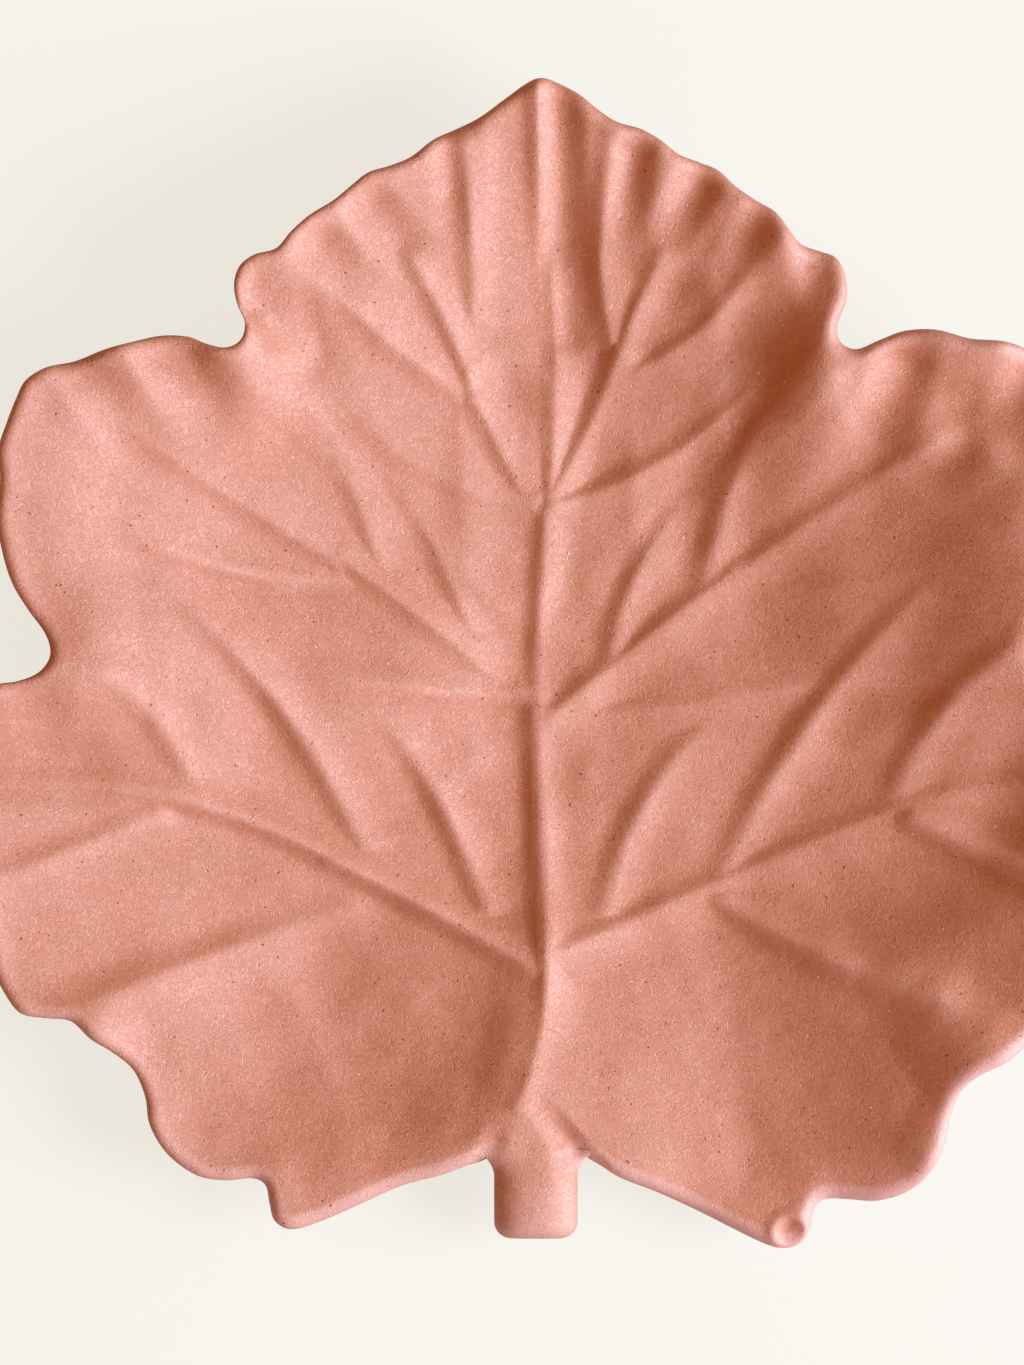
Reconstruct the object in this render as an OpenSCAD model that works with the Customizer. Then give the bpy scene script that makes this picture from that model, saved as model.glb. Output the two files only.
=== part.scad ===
// Leaf shaped plate in unglazed clay: one pressed dish with raised veins, a stem stub and a foot ring.
// +Z is up, +Y runs from the stem to the tip of the top lobe, and the plate stands on z = 0.
// Tables whose name ends in px are drawn on a grid with x to the right and y down, seen from above.

/* [Leaf] */
// Length of the blade, from the tip of the top lobe to the tips of the lowest lobes
leaf_l = 235; // [160:1:320]
// Width of the blade across its widest lobes
leaf_w = 248; // [170:1:340]
// Rise of the rim above the middle of the dish
dish_rise = 24; // [12:1:32]
// Drop of the rim where it flares out
rim_flare = 1.1; // [0:0.1:2]
// Width of the rounding of the rim, seen from above
lip_r = 2.6; // [1.5:0.1:4]
// Thickness of the clay
wall_t = 4.5; // [3:0.25:6]
// Height of a fold or ruffle of the blade
fold_h = 5; // [0:0.5:7]
// Half width of a fold or ruffle of the blade
fold_w = 10; // [6:0.5:14]

/* [Veins] */
// Height of the midrib above the clay beside it
vein_h = 2; // [0.5:0.1:3]
// Half width of the midrib at its foot
vein_w = 6; // [4:0.2:9]

/* [Thumb dimple] */
// Diameter of the dimple on the lower right lobe
dimple_d = 6.5; // [4:0.1:8]
// Depth of the dimple
dimple_h = 1.3; // [0.3:0.1:2]

/* [Stem] */
// Width of the stem
stem_w = 16.8; // [10:0.2:22]
// Thickness of the stem
stem_t = 11; // [10:0.2:16]
// Length of the stem past the blade
stem_l = 18; // [10:0.5:40]
// Radius of the stem's rounded sides
stem_side_r = 4.6; // [4.1:0.1:4.9]
// Radius of the stem's rounded end
stem_end_r = 3.4; // [1:0.1:4]

/* [Foot ring] */
// Outer diameter of the foot ring
foot_d = 84; // [60:1:96]
// Width of the foot ring
foot_w = 6; // [4:0.5:9]
// Height of the foot ring
foot_h = 3.5; // [2:0.25:6]
// Radius of the foot ring's lower edges
foot_edge_r = 1.2; // [0.4:0.1:1.8]

/* [Hidden] */

clay = [0.80, 0.53, 0.45];
clay_light = [0.84, 0.58, 0.50];
clay_dark = [0.70, 0.44, 0.36];

// The drawing grid: its middle, the span of the blade on it, and the size of one step of it
mid_px = [543, 664];
span_px = [1240, 1170];
step = [leaf_w / span_px.x, leaf_l / span_px.y];
function place(p) = [(p[0] - mid_px.x) * step.x, (mid_px.y - p[1]) * step.y];

// Outline of the blade, from the stem round the left side to the tip and back down the right side
outline_px = [
  [522, 1150], [508, 1150], [495, 1153], [484, 1161], [468, 1166], [440, 1176], [400, 1187],
  [355, 1207], [315, 1224], [289, 1230], [273, 1221], [268, 1203], [264, 1186], [251, 1179],
  [224, 1181], [195, 1176], [166, 1155], [148, 1126], [143, 1097], [131, 1070], [110, 1052],
  [89, 1039], [69, 1021], [45, 1018], [19, 1013], [3, 993], [-9, 968], [-14, 942], [-25, 917],
  [-40, 895], [-45, 868], [-52, 842], [-66, 817], [-77, 788], [-70, 762], [-53, 743], [-42, 719],
  [-27, 697], [-6, 685], [18, 681], [39, 672], [50, 655], [45, 634], [28, 610], [12, 583],
  [2, 550], [-3, 515], [1, 480], [-1, 452], [8, 424], [17, 401], [27, 382], [48, 369], [75, 363],
  [103, 352], [131, 344], [161, 337], [188, 338], [206, 345], [225, 349], [240, 342], [245, 325],
  [237, 305], [234, 285], [240, 267], [255, 256], [276, 250], [291, 233], [309, 217], [333, 202],
  [350, 188], [368, 174], [390, 167], [411, 158], [433, 141], [456, 130], [480, 118], [506, 99],
  [527, 84],
  [541, 79], [556, 83], [579, 95], [600, 112], [618, 123], [642, 130], [661, 141], [679, 155],
  [700, 163], [719, 171], [736, 187], [756, 201], [776, 213], [789, 230], [801, 245], [820, 252],
  [837, 259], [846, 278], [847, 302], [838, 325], [841, 343], [857, 350], [880, 341], [905, 332],
  [936, 331], [970, 340], [1004, 343], [1032, 353], [1058, 369], [1075, 390], [1083, 416],
  [1092, 445], [1087, 477], [1091, 508], [1088, 541], [1077, 574], [1061, 603], [1046, 628],
  [1040, 651], [1049, 670], [1070, 680], [1096, 685], [1118, 699], [1131, 721], [1142, 744],
  [1157, 763], [1163, 788], [1153, 816], [1139, 841], [1134, 868], [1126, 894], [1110, 918],
  [1099, 944], [1092, 971], [1078, 998], [1056, 1019], [1033, 1038], [1008, 1060], [980, 1074],
  [962, 1090], [952, 1113], [945, 1146], [932, 1171], [910, 1191], [880, 1201], [850, 1200],
  [827, 1200], [816, 1210], [812, 1229], [801, 1245], [782, 1249], [762, 1243], [733, 1229],
  [697, 1211], [658, 1193], [622, 1179], [602, 1167], [588, 1159], [577, 1151], [564, 1150],
  [543, 1150],
];
half = len(outline_px) / 2;

// The hub that the dish is hollowed round and the foot stands under, the seat of the stem and the
// thumb dimple
hub_px = [543, 700];
root_px = [536, 1150];
dimple_px = [788, 1231];
hub = place(hub_px);
root = place(root_px);
dimple = place(dimple_px);

// Rise of the rim, and how far it flares out flat, at every 30 degrees clockwise from the stem, as
// shares of dish_rise and rim_flare
rise_shares = [0.16, 0.44, 0.66, 0.88, 1.00, 0.92, 0.66, 0.88, 1.08, 1.08, 1.00, 0.48];
flare_shares = [0.20, 0.60, 0.00, -0.50, -0.60, -0.80, 0.20, 1.10, 1.30, 1.30, 1.10, 0.60];
rise_power = 1.9;
// How far the dish follows the lobes of its own outline rather than a plain rounded bowl
lobe_share = 0.25;
// Where the flare of the rim starts, as a share of the way from the hub to the edge
flare_share = 0.93;

// Folds and ruffles, then the broad ridges under the main veins: start, end, evenly spaced heights
// as shares of fold_h, and half width at the start and end as shares of fold_w
folds_px = [
  [[280, 1215], [380, 980], [-0.28, -0.10], [3.2, 3.2]],
  [[800, 1230], [700, 980], [-0.60, -0.10], [3.2, 3.2]],
  [[120, 670], [400, 670], [0.55, 0.60], [2.2, 2.2]],
  [[780, 880], [1010, 800], [-0.55, -0.70], [2.4, 2.4]],
  [[760, 600], [760, 470], [-0.45, -0.40], [2.0, 2.0]],
  [[1010, 700], [1020, 470], [0.35, 0.50, 0.40], [2.2, 2.2]],
  [[160, 1060], [200, 1160], [-0.40, -0.40], [1.6, 1.6]],
  [[230, 960], [300, 960], [-0.25, -0.25], [1.8, 1.8]],
  [[530, 680], [530, 760], [-0.32, -0.28], [1.3, 1.3]],
  [[110, 390], [230, 410], [0.40, 0.45], [1.5, 1.5]],
  [[880, 375], [1020, 390], [-0.45, -0.55], [1.2, 1.2]],
  [[905, 985], [988, 1076], [0.22, 0.52, 0.62, 0.52], [1.1, 1.5]],
  [[530, 400], [500, 560], [0.40, 0.40], [1.6, 1.6]],
  [[825, 262], [835, 300], [-0.60, -0.30], [0.8, 0.8]],
  [[518, 60], [530, 340], [-0.24, -0.10], [1.5, 1.3]],
  [[720, 170], [720, 320], [-0.40, -0.45], [1.4, 1.4]],
  [[10, 688], [150, 705], [0.60, 0.50, 0.10], [1.1, 1.0]],
  [[-20, 768], [180, 778], [-0.40, -0.30, 0.00], [0.9, 0.9]],
  [[548, 90], [562, 330], [-0.30, -0.15], [0.60, 0.60]],
  [[640, 122], [620, 245], [-0.10, -0.50, -0.36, -0.18, 0], [0.62, 0.60]],
  [[714, 158], [656, 260], [-0.10, -0.50, -0.42, -0.20, 0], [0.64, 0.62]],
  [[775, 196], [722, 296], [-0.10, -0.42, -0.32, -0.15, 0], [0.62, 0.62]],
  [[808, 258], [716, 430], [-0.15, -0.48, -0.46, -0.30, -0.10], [0.90, 1.2]],
  [[872, 345], [745, 520], [0.45, 0.70, 0.60, 0.35, 0], [1.8, 1.5]],
  [[350, 186], [424, 270], [-0.10, -0.40, -0.30, -0.15, 0], [0.72, 0.68]],
  [[304, 222], [366, 300], [-0.10, -0.40, -0.30, -0.15, 0], [0.72, 0.68]],
  [[252, 270], [330, 390], [-0.20, -0.50, -0.40, -0.20, 0], [0.80, 0.92]],
  [[236, 345], [300, 450], [0.60, 0], [1.0, 1.2]],
  [[165, 334], [232, 450], [-0.60, 0], [0.88, 1.0]],
  [[70, 360], [160, 470], [-0.40, 0], [0.88, 1.0]],
  [[916, 330], [876, 450], [-0.20, -0.62, -0.50, -0.25, 0], [0.76, 0.84]],
  [[1036, 350], [914, 490], [-0.05, -0.20, -0.32, -0.25, 0], [0.9, 0.9]],
  [[455, 120], [462, 240], [-0.40, 0], [0.68, 0.60]],
  [[538, 1200], [546, 960], [1.25, 1.15, 0.90, 0.50, 0.15], [3.4, 2.4]],
  [[496, 1140], [518, 985], [0.16, 0.22, 0.12], [0.9, 0.9]],
  [[505, 1112], [485, 1164], [-0.04, -0.22], [0.40, 0.50]],
  [[545, 1110], [582, 1168], [-0.05, -0.38], [0.36, 0.40]],
  [[190, 1090], [320, 1040], [-0.50, -0.54], [2.4, 2.2]],
  [[20, 955], [360, 940], [-0.38, -0.26], [1.8, 1.8]],
  [[650, 990], [670, 1150], [0.30, 0.34], [1.8, 1.8]],
  [[130, 430], [160, 740], [0.36, 0.36], [2.4, 2.2]],
  [[345, 730], [425, 745], [0.25, 0.16], [1.6, 1.6]],
  [[600, 230], [590, 440], [-0.26, -0.36], [1.9, 1.9]],
  [[680, 880], [830, 740], [-0.24, -0.24], [2.3, 2.3]],
  [[940, 480], [1010, 500], [0.32, 0.34], [1.6, 1.6]],
  [[1000, 820], [1040, 740], [-0.26, -0.34], [1.3, 1.3]],
  [[276, 290], [290, 350], [0.30, 0.30], [0.7, 0.7]],
  [[40, 430], [70, 640], [0.40, 0.40], [1.7, 1.7]],
  [[370, 1190], [440, 1130], [0.24, 0.24], [1.4, 1.4]],
  [[240, 1030], [280, 1130], [-0.22, -0.22], [1.4, 1.4]],
  [[860, 905], [990, 870], [-0.22, -0.26], [2.0, 2.0]],
  [[230, 740], [350, 750], [0.20, 0.20], [1.8, 1.8]],
  [[600, 700], [670, 580], [-0.20, -0.20], [1.5, 1.5]],
  [[660, 385], [735, 262], [0.14, 0.20], [0.9, 0.8]],
  [[832, 390], [772, 520], [0.12, 0.22, 0.10], [1.0, 1.0]],
  [[505, 400], [510, 560], [-0.42, -0.30], [1.0, 1.0]],
  [[672, 300], [680, 520], [-0.34, -0.34], [1.0, 1.0]],
  [[890, 390], [930, 430], [0.34, 0.34], [0.9, 0.9]],
  [[1062, 350], [1040, 430], [-1.00, -0.80], [1.3, 1.3]],
];
ridges_px = [
  [[542, 1080], [545, 950], [0.10, 0.28], [2.4, 2.4]],
  [[540, 950], [60, 780], [0.30, 0.20], [2.0, 1.8]],
  [[548, 945], [1060, 780], [0.30, 0.20], [2.0, 1.8]],
  [[536, 705], [130, 420], [0.25, 0.10], [1.8, 1.6]],
  [[548, 705], [930, 450], [0.25, 0.10], [1.8, 1.6]],
];

// Veins: start, end, bow to the side, evenly spaced heights as shares of vein_h, and half width at
// the start and end as shares of vein_w
veins_px = [
  [[514, 1112], [544, 955], 9, [0.25, 0.85, 0.98], [0.80, 0.72]],
  [[545, 955], [533, 712], 0, [1.00, 1.15, 0.98], [0.74, 0.74]],
  [[533, 703], [545, 508], 0, [0.84, 0.72, 0.42], [0.85, 0.80]],
  [[550, 497], [553, 290], 5, [0.40, 0.33, 0.39], [0.75, 0.70]],
  [[553, 290], [554, 258], 0, [0.42, 0.32, 0.10], [0.70, 0.65]],
  [[544, 245], [541, 84], 0, [0.10, 0.62, 0.85], [0.70, 0.80]],
  [[548, 958], [906, 805], -2, [0.70, 0.50, 0.48], [0.90, 0.80]],
  [[906, 803], [1130, 770], -3, [0.44, 0.30, 0.20], [0.80, 0.70]],
  [[546, 975], [329, 859], 3, [0.60, 1.30, 1.20], [0.80, 0.78]],
  [[330, 858], [75, 782], 14, [1.15, 1.15, 0.40], [0.78, 0.60]],
  [[75, 782], [-50, 780], 0, [0.30, 0.15, 0.05], [0.65, 0.60]],
  [[545, 722], [738, 569], -2, [0.62, 0.60, 0.60], [0.88, 0.85]],
  [[741, 573], [974, 420], -4, [0.54, 0.44, 0.10], [0.85, 0.80]],
  [[526, 710], [338, 560], 5, [0.12, 0.56, 0.66], [0.85, 0.80]],
  [[336, 562], [88, 404], -3, [0.57, 0.25, 0.06], [0.85, 0.75]],
  [[556, 491], [620, 352], 4, [0.45, 0.72, 0.90], [0.80, 0.85]],
  [[620, 352], [663, 258], -2, [0.55, 0.68, 0.30], [0.78, 0.70]],
  [[528, 502], [475, 399], 0, [0.30, 0.62, 0.65], [0.85, 0.80]],
  [[475, 398], [411, 262], 5, [0.46, 0.57, 0.30], [0.80, 0.62]],
  [[615, 351], [601, 255], -3, [0.44, 0.78, 0.80], [0.70, 0.75]],
  [[601, 255], [619, 132], -3, [0.74, 0.62, 0.42], [0.75, 0.80]],
  [[472, 318], [462, 146], 3, [0.20, 0.50, 0.68], [0.70, 0.85]],
  [[633, 369], [742, 281], 12, [0.32, 0.48, 0.28], [0.70, 0.72]],
  [[464, 399], [382, 340], 0, [0.12, 0.47, 0.56], [0.80, 0.85]],
  [[383, 339], [303, 271], 0, [0.58, 0.38, 0.04], [0.85, 0.80]],
  [[551, 505], [749, 391], 18, [0.50, 0.58, 0.32], [0.80, 0.75]],
  [[533, 504], [349, 407], -20, [0.45, 0.32, 0.07], [0.80, 0.75]],
  [[552, 716], [820, 682], 6, [0.15, 0.35, 0.10], [0.75, 0.70]],
  [[526, 694], [300, 668], -8, [0.45, 0.55, 0.12], [0.68, 0.64]],
  [[611, 661], [687, 504], -14, [0.46, 0.60, 0.12], [0.80, 0.80]],
  [[705, 592], [764, 423], -8, [0.45, 0.74, 0.42], [0.88, 0.90]],
  [[750, 588], [940, 560], 14, [0.10, 0.12, 0.05], [0.80, 0.70]],
  [[465, 624], [399, 491], 5, [0.30, 0.36, 0.05], [0.80, 0.75]],
  [[380, 574], [336, 461], 5, [0.39, 0.44, 0.10], [0.78, 0.70]],
  [[345, 580], [130, 535], -14, [0.25, 0.75, 0.20], [0.64, 0.54]],
  [[606, 907], [701, 731], -15, [0.52, 0.86, 0.22], [0.85, 0.85]],
  [[722, 876], [919, 597], -16, [0.42, 0.95, 0.32], [0.88, 0.88]],
  [[896, 795], [1016, 646], -15, [0.45, 0.92, 0.44], [0.90, 0.90]],
  [[721, 901], [936, 996], 9, [0.55, 1.45, 0.40], [0.78, 1.15]],
  [[912, 820], [1100, 905], 0, [0.70, 1.40, 0.90], [0.76, 0.76]],
  [[362, 847], [163, 582], 18, [0.55, 1.00, 0.12], [0.85, 0.80]],
  [[482, 908], [388, 726], 11, [0.55, 0.92, 0.12], [0.85, 0.80]],
  [[188, 779], [106, 677], 11, [0.32, 0.62, 0.20], [0.80, 0.80]],
  [[352, 909], [66, 1012], 4, [0.25, 0.80, 0.35], [0.86, 1.20]],
  [[159, 814], [-19, 887], 0, [0.38, 0.64, 0.32], [0.82, 0.80]],
];
// Radius of a crest's rounding, as a share of its half width
crest_share = 0.16;
// How wide the two sides of a crest are, as shares of its half width: the steep side, then the other
ridge_sides = [1, 1];
vein_sides = [0.8, 1.6];

// The spine down the middle that the mesh fans out from, given along each half of the outline:
// how far round the half, as a share, and the height on the drawing grid
spine_px = [[0, 1100], [0.06, 1060], [0.13, 985], [0.30, 940], [0.47, 880], [0.58, 735], [0.66, 690],
  [0.78, 600], [0.88, 490], [0.96, 330], [1, 180]];
spine_x_px = 543;
// Steps of the mesh between two points of the outline, and its rings as shares from spine to rim
fine = 2;
inner_shares = [0.06, 0.12, 0.18, 0.24, 0.30, 0.36, 0.42, 0.48, 0.54];
outer_shares = [0.61, 0.68, 0.75, 0.82, 0.88, 0.94, 1];
under_shares = [0.97, 0.80, 0.60, 0.42, 0.22];
// Depth at which the rounded rim is widest, as a share of half the wall
rim_share = 0.75;

// Height of the raised lip round the dimple, and its middle and half width as shares of the radius
dimple_lip_h = 0.5;
dimple_lip_at = 1.15;
dimple_lip_w = 0.45;
// Flat margin of the underside round the foot ring, and the stretch over which it meets the blade
pad_margin = 8;
pad_fall = leaf_w / 8;
// Reach of the swelling under the stem, as shares of stem_w and stem_l
swell_shares = [1.1, 1.6];
foot_facets = 96;

// Curves
function weave(a, b, c, d, t) =
  (2 * b + (c - a) * t + (2 * a - 5 * b + 4 * c - d) * t * t + (3 * b - a - 3 * c + d) * t * t * t) / 2;
function around(list, i) = list[(i + len(list)) % len(list)];
function ring_at(list, x) =
  let(i = floor(x), t = x - i)
  weave(around(list, i - 1), around(list, i), around(list, i + 1), around(list, i + 2), t);
function clamp(x) = max(0, min(1, x));
function ease(x) = let(t = clamp(x)) t * t * (3 - 2 * t);

// Clockwise angle of a point from the stem, as seen from the hub
function turn(p) =
  let(d = p - hub, a = atan2(-d.x, -d.y))
  a < 0 ? a + 360 : a;

// The blade's edge, with the seat of the stem kept straight
function seat(p) = abs(p.x - root.x) < stem_w / 2 && p.y < root.y + wall_t ? [p.x, root.y] : p;
function edge_points() = [for (i = [0 : fine * len(outline_px) - 1]) seat(place(ring_at(outline_px, i / fine)))];

function reach_table(edge) = concat([[0, hub.y - root.y]], [for (p = edge) if (turn(p) > 0.5 && turn(p) < 359.5)
  [turn(p), norm(p - hub)]], [[360, hub.y - root.y]]);
function soft_reach(table) = [for (a = [0 : 15 : 345])
  let(near = [for (k = [-24 : 8 : 24]) lookup((a + k + 360) % 360, table)])
  near * [1, 2, 3, 4, 3, 2, 1] / 16];

// A row of a table turned into sizes: start, direction, length, bow, heights, half widths, middle
// and how far it reaches from there
function spaced(h) = [for (i = [0 : len(h) - 1]) [i / (len(h) - 1), h[i]]];
function stroke_row(row, bow, h, w) =
  let(a = place(row[0]), b = place(row[1]), l = norm(b - a))
  [a, (b - a) / l, l, bow * step.x, spaced(h), w, (a + b) / 2,
   l / 2 + max(w) * vein_sides[1] + abs(bow * step.x)];
function fold_rows(table) = [for (f = table) stroke_row(f, 0, f[2] * fold_h, f[3] * fold_w)];
function vein_rows() = [for (v = veins_px) stroke_row(v, v[2], v[3] * vein_h, v[4] * vein_w)];

// Distance from a stroke's bowed line, as a share of its half width there, with its height
function stroke_at(p, s, sides) =
  let(d = p - s[0], u = clamp(d * s[1] / s[2]), off = d.y * s[1].x - d.x * s[1].y,
      bowed = off + 4 * s[3] * u * (1 - u), past = d * s[1] - u * s[2],
      side = bowed / (bowed * s[1].y > 0 ? sides[0] : sides[1]))
  [norm([side, past]) / (s[5][0] + (s[5][1] - s[5][0]) * u), lookup(u, s[4])];
function fold_at(p, s) =
  norm(p - s[6]) > s[7] ? 0 :
  let(k = stroke_at(p, s, [1, 1]))
  k[0] >= 1 ? 0 : k[1] * pow(1 - k[0] * k[0], 2);
function crest_at(p, s, sides) =
  norm(p - s[6]) > s[7] ? 0 :
  let(k = stroke_at(p, s, sides), r = sqrt(k[0] * k[0] + crest_share * crest_share) - crest_share)
  r >= 1 ? 0 : k[1] * (1 - r) * (1 - r);
function sumv(v) = v * [for (i = v) 1];

// Height of the top of the blade without its veins
function bowl_z(p, reach, soft, folds, ridges) =
  let(a = turn(p), far = lookup(a, reach), s = ring_at(soft, a / 15), out = norm(p - hub),
      flare = max(0, out / far - flare_share) / (1 - flare_share))
  foot_h + wall_t
  + dish_rise * ring_at(rise_shares, a / 30) * pow(out / (s + (far - s) * lobe_share), rise_power)
  - rim_flare * ring_at(flare_shares, a / 30) * flare * flare
  + sumv([for (f = folds) fold_at(p, f)])
  + sumv([for (f = ridges) crest_at(p, f, ridge_sides)]);

// Height that the thumb dimple and its lip add
function dimple_z(p) =
  let(q = norm(p - dimple) / (dimple_d / 2), lip = (q - dimple_lip_at) / dimple_lip_w)
  dimple_lip_h * max(0, 1 - lip * lip) - dimple_h * max(0, 1 - q * q);

// Height of the underside, with its flat pad over the foot ring and its swelling under the stem
function under_z(p, top) =
  let(k = ease((norm(p - hub) - foot_d / 2 - pad_margin) / pad_fall),
      s = norm([(p.x - root.x) / (stem_w * swell_shares[0]), (p.y - root.y) / (stem_l * swell_shares[1])]),
      swell = s >= 1 ? 0 : (stem_t - wall_t) * pow(1 - s * s, 2))
  foot_h + (top - wall_t - swell - foot_h) * k;

// Faces between a ring of the mesh and the next one, of the same count or of half the count
function strip(a, b, n) = [for (i = [0 : n - 1]) let(j = (i + 1) % n)
  each [[a + i, b + i, b + j], [a + i, b + j, a + j]]];
function widen(a, b, n) = [for (i = [0 : n - 1]) let(j = (i + 1) % n)
  each [[a + i, b + 2 * i, b + 2 * i + 1], [a + i, b + 2 * i + 1, a + j],
        [a + j, b + 2 * i + 1, b + (2 * i + 2) % (2 * n)]]];
function flip(faces) = [for (f = faces) [f[0], f[2], f[1]]];
// Faces from the spine to the first ring, where both sides of the leaf share the spine's points
function spine_faces(a, b, n) = [for (i = [0 : n - 1])
  let(j = (i + 1) % n, si = a + min(i, n - i), sj = a + min(i + 1, n - i - 1))
  each [[si, b + i, b + j], [si, b + j, sj]]];

module leaf_dish() {
  edge = edge_points();
  n = len(edge);
  reach = reach_table(edge);
  soft = soft_reach(reach);
  folds = fold_rows(folds_px);
  ridges = fold_rows(ridges_px);
  veins = vein_rows();
  r_rim = wall_t / 2;
  // Inward direction at each point of the edge, nothing along the seat of the stem
  inward = [for (i = [0 : n - 1])
    let(d = around(edge, i + 1) - around(edge, i - 1),
        flat = edge[i].y == root.y ? 0 : ease((norm(edge[i] - root) - stem_w / 2) / wall_t))
    flat * [d.y, -d.x] / norm(d)];
  spine = [for (i = [0 : n - 1]) let(k = min(i, n - i) * 2 / n)
    place([spine_x_px, lookup(k, spine_px)])];
  lip = edge + inward * lip_r;
  function ring(share, every) = [for (i = [0 : every : n - 1]) spine[i] + (lip[i] - spine[i]) * share];
  function top_z(p) = bowl_z(p, reach, soft, folds, ridges);
  function raise(ps) = [for (p = ps) [p.x, p.y, top_z(p) + max([for (v = veins) crest_at(p, v, vein_sides)]) + dimple_z(p)]];
  function sink(ps) = [for (p = ps) [p.x, p.y, under_z(p, top_z(p))]];
  spine_n = n / 4 + 1;
  crest = raise([for (i = [0 : spine_n - 1]) spine[2 * i]]);
  keel = sink([for (i = [0 : spine_n - 1]) spine[2 * i]]);
  inner = [for (s = inner_shares) raise(ring(s, 2))];
  outer = [for (s = outer_shares) raise(ring(s, 1))];
  under = [for (s = under_shares) sink(ring(s, 2))];
  top_edge = outer[len(outer) - 1];
  low_edge = sink(lip);
  function rim_row(from, drop) = [for (i = [0 : n - 1]) [edge[i].x, edge[i].y, from[i].z - drop]];
  rim = [rim_row(top_edge, r_rim * rim_share), rim_row(low_edge, -r_rim * rim_share), low_edge];
  rows = concat([crest], inner, outer, rim, under, [keel]);
  first = [for (i = 0, at = 0; i < len(rows); at = at + len(rows[i]), i = i + 1) at];
  half_n = n / 2;
  in_end = len(inner);
  out_end = in_end + len(outer) + len(rim);
  faces = concat(
    spine_faces(first[0], first[1], half_n),
    [for (r = [1 : in_end - 1]) each strip(first[r], first[r + 1], half_n)],
    widen(first[in_end], first[in_end + 1], half_n),
    [for (r = [in_end + 1 : out_end - 1]) each strip(first[r], first[r + 1], n)],
    flip(widen(first[out_end + 1], first[out_end], half_n)),
    [for (r = [out_end + 1 : len(rows) - 3]) each strip(first[r], first[r + 1], half_n)],
    flip(spine_faces(first[len(rows) - 1], first[len(rows) - 2], half_n)));
  color(clay) polyhedron([for (r = rows) each r], faces, convexity = 10);
}

// Section of the stem, drawn in by an inset
module stem_section(inset) {
  offset(stem_side_r - inset) square([stem_w - 2 * stem_side_r, stem_t - 2 * stem_side_r], center = true);
}

module stem() {
  reach = reach_table(edge_points());
  top = bowl_z(root, reach, soft_reach(reach), fold_rows(folds_px), fold_rows(ridges_px));
  color(clay_light)
  translate([root.x, root.y, top - stem_t / 2])
  rotate([90, 0, 0])
  hull() {
    linear_extrude(stem_l - stem_end_r) stem_section(0);
    for (a = [0 : 18 : 90])
      linear_extrude(stem_l - stem_end_r * (1 - sin(a))) stem_section(stem_end_r * (1 - cos(a)));
  }
}

module foot_ring() {
  r = foot_d / 2;
  color(clay_dark)
  translate([hub.x, hub.y, 0])
  rotate_extrude($fn = foot_facets)
  hull() {
    translate([r - foot_w + foot_edge_r, foot_edge_r]) circle(foot_edge_r, $fn = 32);
    translate([r - foot_edge_r, foot_edge_r]) circle(foot_edge_r, $fn = 32);
    translate([r - foot_w, foot_h - foot_edge_r]) square([foot_w, foot_edge_r]);
  }
}

leaf_dish();
stem();
foot_ring();
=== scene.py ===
import math

import bmesh
import bpy
import numpy as np
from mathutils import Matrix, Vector, kdtree


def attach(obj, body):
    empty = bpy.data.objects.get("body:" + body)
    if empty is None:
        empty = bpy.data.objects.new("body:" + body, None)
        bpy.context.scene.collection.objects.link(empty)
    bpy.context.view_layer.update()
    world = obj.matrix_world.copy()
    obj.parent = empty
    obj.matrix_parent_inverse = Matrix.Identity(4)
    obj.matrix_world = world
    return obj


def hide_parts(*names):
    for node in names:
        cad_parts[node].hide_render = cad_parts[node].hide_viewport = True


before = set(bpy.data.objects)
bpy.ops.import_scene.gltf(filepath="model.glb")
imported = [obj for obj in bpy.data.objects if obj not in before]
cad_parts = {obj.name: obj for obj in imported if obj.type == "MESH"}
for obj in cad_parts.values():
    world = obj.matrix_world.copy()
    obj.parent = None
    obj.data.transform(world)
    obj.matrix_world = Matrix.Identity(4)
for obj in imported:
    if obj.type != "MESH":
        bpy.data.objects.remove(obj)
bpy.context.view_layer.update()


# The blade is one sheet of red clay, rolled out and pressed over a hump so that it dishes. Its rim is
# cut along the lobes, pinched into ruffles and rounded with a wet finger, and the veins are raised on
# its upper side. One thumb dimple is pressed in at the tip of the lower right lobe.

# Lengths are in metres, and a share is a part of the value that it goes with
leaf_l = 0.235
leaf_w = 0.248
wall_t = 0.0045

# The bowl: how far the rim rises, how late it does so on the way out, how much each lobe's own reach
# counts, how far the rim flares, and where the flare starts
dish_rise = 0.024
rise_power = 1.9
lobe_share = 0.25
rim_flare = 0.0011
flare_share = 0.93

# Folds and veins: height and half width, the roundness of a crest, and the widths of the two sides
# of a ridge and of a vein, as shares of the half width
fold_h = 0.005
fold_w = 0.010
vein_h = 0.002
vein_w = 0.006
crest_share = 0.16
ridge_sides = (1.0, 1.0)
vein_sides = (0.80, 1.60)

# The rounded lip, the strip of rim that carries the painted highlight, and the dimple with the ridge
# pushed up round it
lip_r = 0.0026
rim_w = 0.0042
dimple_r = 0.0032
dimple_h = 0.0013
dimple_lip_h = 0.0005
dimple_lip_at = 1.15
dimple_lip_w = 0.45

# The flat pad over the foot, and the swelling of the underside where the stem is pressed on
foot_r = 0.042
foot_h = 0.0035
pad_past = 0.008
pad_fade = leaf_w / 8
stem_w = 0.0168
stem_t = 0.011
stem_l = 0.018
swell_w = stem_w * 1.1
swell_l = stem_l * 1.6

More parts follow.
